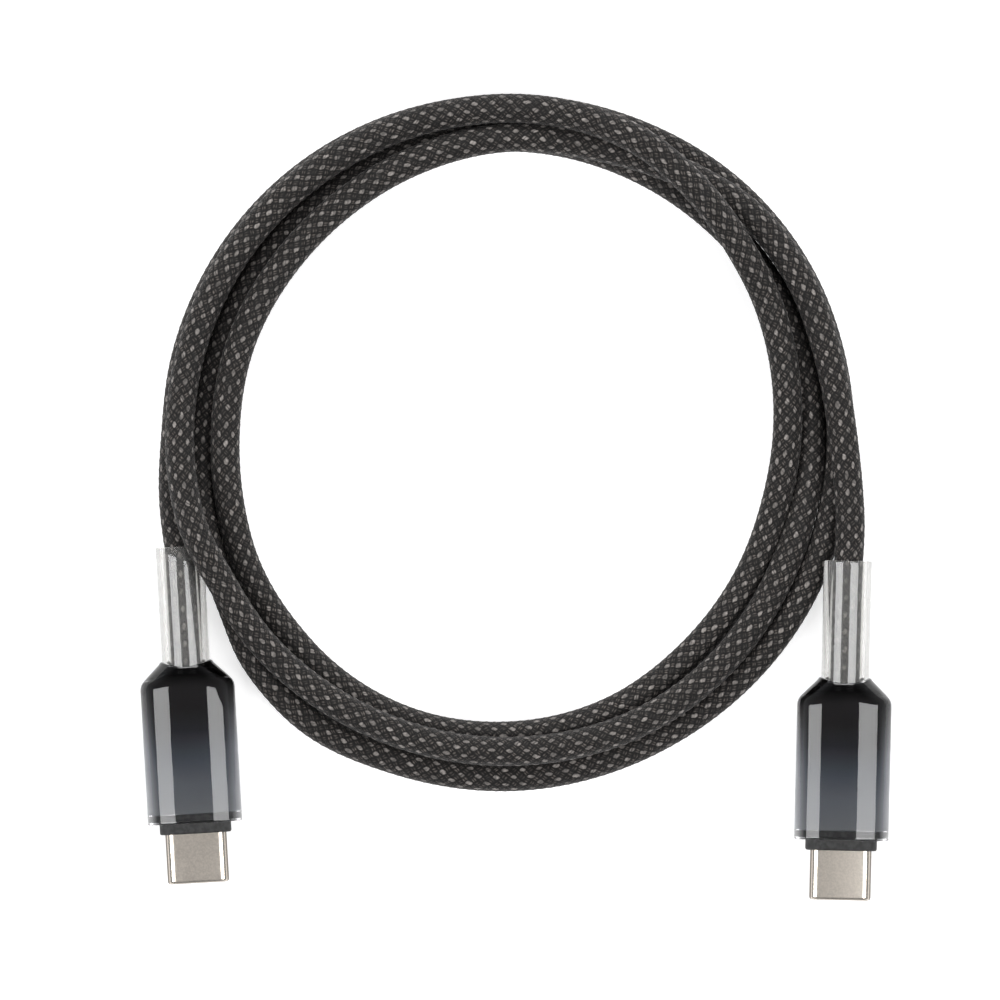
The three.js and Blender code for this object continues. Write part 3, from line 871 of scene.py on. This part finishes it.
# The core's colours along it, in shares of that length: in its middle, and at its sides, where
# painted light makes them paler.
CORE_MIDDLE = [
    (0.0, (0.165, 0.172, 0.181, 1)),
    (0.22, (0.132, 0.142, 0.157, 1)),
    (0.42, (0.072, 0.08, 0.094, 1)),
    (0.6, (0.029, 0.029, 0.0325, 1)),
    (0.76, (0.0195, 0.018, 0.0185, 1)),
]
CORE_SIDES_PAINTED_LIGHT = [
    (0.0, (0.5, 0.51, 0.53, 1)),
    (0.45, (0.36, 0.37, 0.4, 1)),
    (0.8, grey(0.1)),
    (0.92, grey(0.015)),
]
# Places across a connector, in millimetres from its axis, where its looks change.
# Where painted light makes the core's sides paler.
CORE_PAINTED_LIGHT_FROM_TO = (4.3, 5.8)
# Where painted light makes the flange's sides paler.
FLANGE_PAINTED_LIGHT_FROM_TO = (4.9, 5.7)
PLUG_POLISHED_FROM_TO = (3.08, 3.2)
# Where painted shade darkens the outer edges of the plug's round sides.
PLUG_PAINTED_SHADE_FROM_TO = (3.8, 4.0)


def stations_of(look):
    """How far a place is across and along the connector, in millimetres from its plug's tip."""
    split = look.node("SeparateXYZ")
    look.feed(split.inputs[0], look.node("UVMap", uv_map="stations").outputs[0])
    return [look.math("MULTIPLY", split.outputs[axis], MAP_UNIT) for axis in (0, 1)]


def clear_look(name, roughness, ior, tints, clearness=1.0, coat_ior=None, smoked=None):
    """Clear moulded plastic, tinted a little. A coat makes a side glossier, and a smoked piece
    darkens from the first to the second place along the connector."""
    look = Look(name)
    marks = look.noise(300.0, 2.0)
    tint = look.ramp(marks, [(0.3, tints[0]), (0.7, tints[1])])
    if smoked:
        smoke = look.span(stations_of(look)[1], *smoked)
        tint = look.mix(smoke, tint, grey(0.02))
    look.set(
        Base_Color=tint,
        Roughness=look.span(marks, 0.3, 0.7, roughness, roughness * 1.6),
        Transmission_Weight=clearness,
        IOR=ior,
    )
    if coat_ior:
        look.set(Coat_Weight=1.0, Coat_Roughness=0.03, Coat_IOR=coat_ior)
    return look


def core_look():
    """Smooth plastic that runs from black at the neck to grey at the plug, with painted light
    making it paler at its sides.
    """
    look = Look("graded_core")
    across, along_it = stations_of(look)
    wave = look.span(look.noise(60.0, 2.0), 0.3, 0.7, -0.2, 0.2)
    place = look.span(look.math("ADD", along_it, wave), *CORE_FROM_TO)
    middle = look.ramp(place, CORE_MIDDLE, smooth=False)
    # Painted light: the sides take paler colours, standing in for the bright edges seen through
    # the clear shell.
    sides = look.ramp(place, CORE_SIDES_PAINTED_LIGHT, smooth=False)
    side = look.span(look.math("ABSOLUTE", across), *CORE_PAINTED_LIGHT_FROM_TO)
    tone = look.mix(look.product(side, side), middle, sides)
    look.set(Base_Color=tone, Roughness=0.5, Specular_IOR_Level=0.0)
    return look


def plastic_look(name, dark, light, roughness=0.6, grain=1500.0):
    """Spark-textured moulded plastic."""
    look = Look(name)
    speckle = look.noise(grain, 4.0)
    look.set(
        Base_Color=look.ramp(speckle, [(0.35, dark), (0.65, light)]),
        Roughness=look.span(speckle, 0.3, 0.7, roughness - 0.1, roughness + 0.1),
    )
    look.bump(speckle, 0.03 * MM, 0.5)
    return look


def collar_look():
    """Black plastic, with painted light making the sides of its flange paler, as the core's are.
    """
    look = plastic_look("collar_black", grey(0.01), grey(0.035), 0.65)
    black = look.shader.inputs["Base Color"].links[0].from_socket
    # Painted light: the flange's sides turn pale grey, like the core's painted sides.
    side = look.span(look.math("ABSOLUTE", stations_of(look)[0]), *FLANGE_PAINTED_LIGHT_FROM_TO)
    look.set(Base_Color=look.mix(side, black, grey(0.4)))
    return look


def metal_look(name, dark, light, roughness):
    """Sheet metal, with a fine grain drawn out along the connectors."""
    look = Look(name)
    grain = look.noise(1800.0, stretch=(1, 0.1, 1))
    look.set(
        Base_Color=look.ramp(grain, [(0.3, dark), (0.7, light)]),
        Metallic=1.0,
        Roughness=look.span(grain, 0.3, 0.7, roughness - 0.05, roughness + 0.05),
    )
    look.bump(grain, 0.004 * MM, 0.3)
    return look


def plug_look():
    """Drawn steel with satin flat faces and polished round sides, with painted shade darkening the
    outermost edges of those sides.
    """
    look = Look("plug_steel")
    across = look.math("ABSOLUTE", stations_of(look)[0])
    grain = look.noise(4200.0, 2.0)
    satin = look.span(grain, 0.3, 0.7, 0.31, 0.36)
    rough = look.between(look.span(across, *PLUG_POLISHED_FROM_TO), satin, 0.2)
    tone = look.ramp(grain, [(0.25, (0.53, 0.485, 0.43, 1)), (0.75, (0.62, 0.565, 0.5, 1))])
    # Painted shade: the steel's colour darkens at the outermost edges of its round sides.
    edge_shade_place = look.span(across, *PLUG_PAINTED_SHADE_FROM_TO)
    painted_edge_shade = look.ramp(edge_shade_place, [(0.0, grey(1.0)), (1.0, (0.2, 0.18, 0.165, 1))])
    shaded_tone = look.mix(1.0, tone, painted_edge_shade, "MULTIPLY")
    look.set(Base_Color=shaded_tone, Metallic=1.0, Roughness=rough)
    look.bump(grain, 0.003 * MM, 0.15)
    return look


def dress_nodes():
    """Gives every CAD node that stays its own procedural material."""
    black = plastic_look("moulded_black", grey(0.012), grey(0.03), 0.55)
    steel = metal_look("sheet_steel", grey(0.45), grey(0.6), 0.35)
    gold = metal_look("contact_gold", (0.75, 0.5, 0.18, 1), (0.9, 0.66, 0.3, 1), 0.25)
    board = plastic_look("board_green", (0.005, 0.03, 0.015, 1), (0.01, 0.06, 0.03, 1), 0.4, 600.0)
    ceramic = plastic_look("ceramic_tan", (0.2, 0.14, 0.08, 1), (0.32, 0.24, 0.15, 1), 0.5)
    jacket = plastic_look("jacket_black", grey(0.01), grey(0.02), 0.6)
    colours = {
        "power": (0.35, 0.02, 0.02, 1),
        "data_plus": (0.01, 0.14, 0.04, 1),
        "control": (0.02, 0.06, 0.32, 1),
        "data_minus": (0.6, 0.6, 0.58, 1),
        "ground": (0.012, 0.012, 0.012, 1),
    }
    looks = {
        "contact_housing": black,
        "contacts": gold,
        "ground_spring": steel,
        "latch_plate": steel,
        "circuit_board": board,
        "capacitor": ceramic,
        "marker_chip": black,
        "shield_can": steel,
        "jacket_end": jacket,
        "crimp_ferrule": steel,
    }
    for wire, colour in colours.items():
        light = tuple(min(1.0, 1.4 * part) for part in colour)
        looks["wire_" + wire] = plastic_look("wire_" + wire, colour, light, 0.4)
    for name, node in frame["nodes"].items():
        look = next((made for start, made in looks.items() if name.startswith(start)), None)
        if look:
            node.data.materials.clear()
            node.data.materials.append(look.material)


def make_connectors():
    """Both connectors' own pieces, listed by connector."""
    shell_tints = [grey(0.93, 1.02), grey(0.96, 1.01)]
    shell_look = clear_look("clear_shell", 0.015, 1.45, shell_tints, smoked=SMOKED_FROM_TO)
    sleeve_tints = [(0.76, 0.755, 0.735, 1), (0.82, 0.815, 0.8, 1)]
    sleeve_look = clear_look("clear_sleeve", 0.06, 1.2, sleeve_tints, 0.93, coat_ior=1.5)
    sleeve_inside = clear_look("clear_sleeve_inside", 0.06, 1.2, sleeve_tints, 0.93)
    core = core_look()
    collar = collar_look()
    plug = plug_look()
    made = {}
    for letter in "ab":
        connector = Connector(letter)
        made[letter] = [
            make_shell(connector, shell_look),
            make_core(connector, core),
            make_collar(connector, collar),
            make_plug(connector, plug),
            make_relief(connector, sleeve_look, sleeve_inside),
        ]
    return made


make_camera()
make_lights()
make_floor()
cord, line = make_cord(braid_look())
connectors = make_connectors()
dress_nodes()
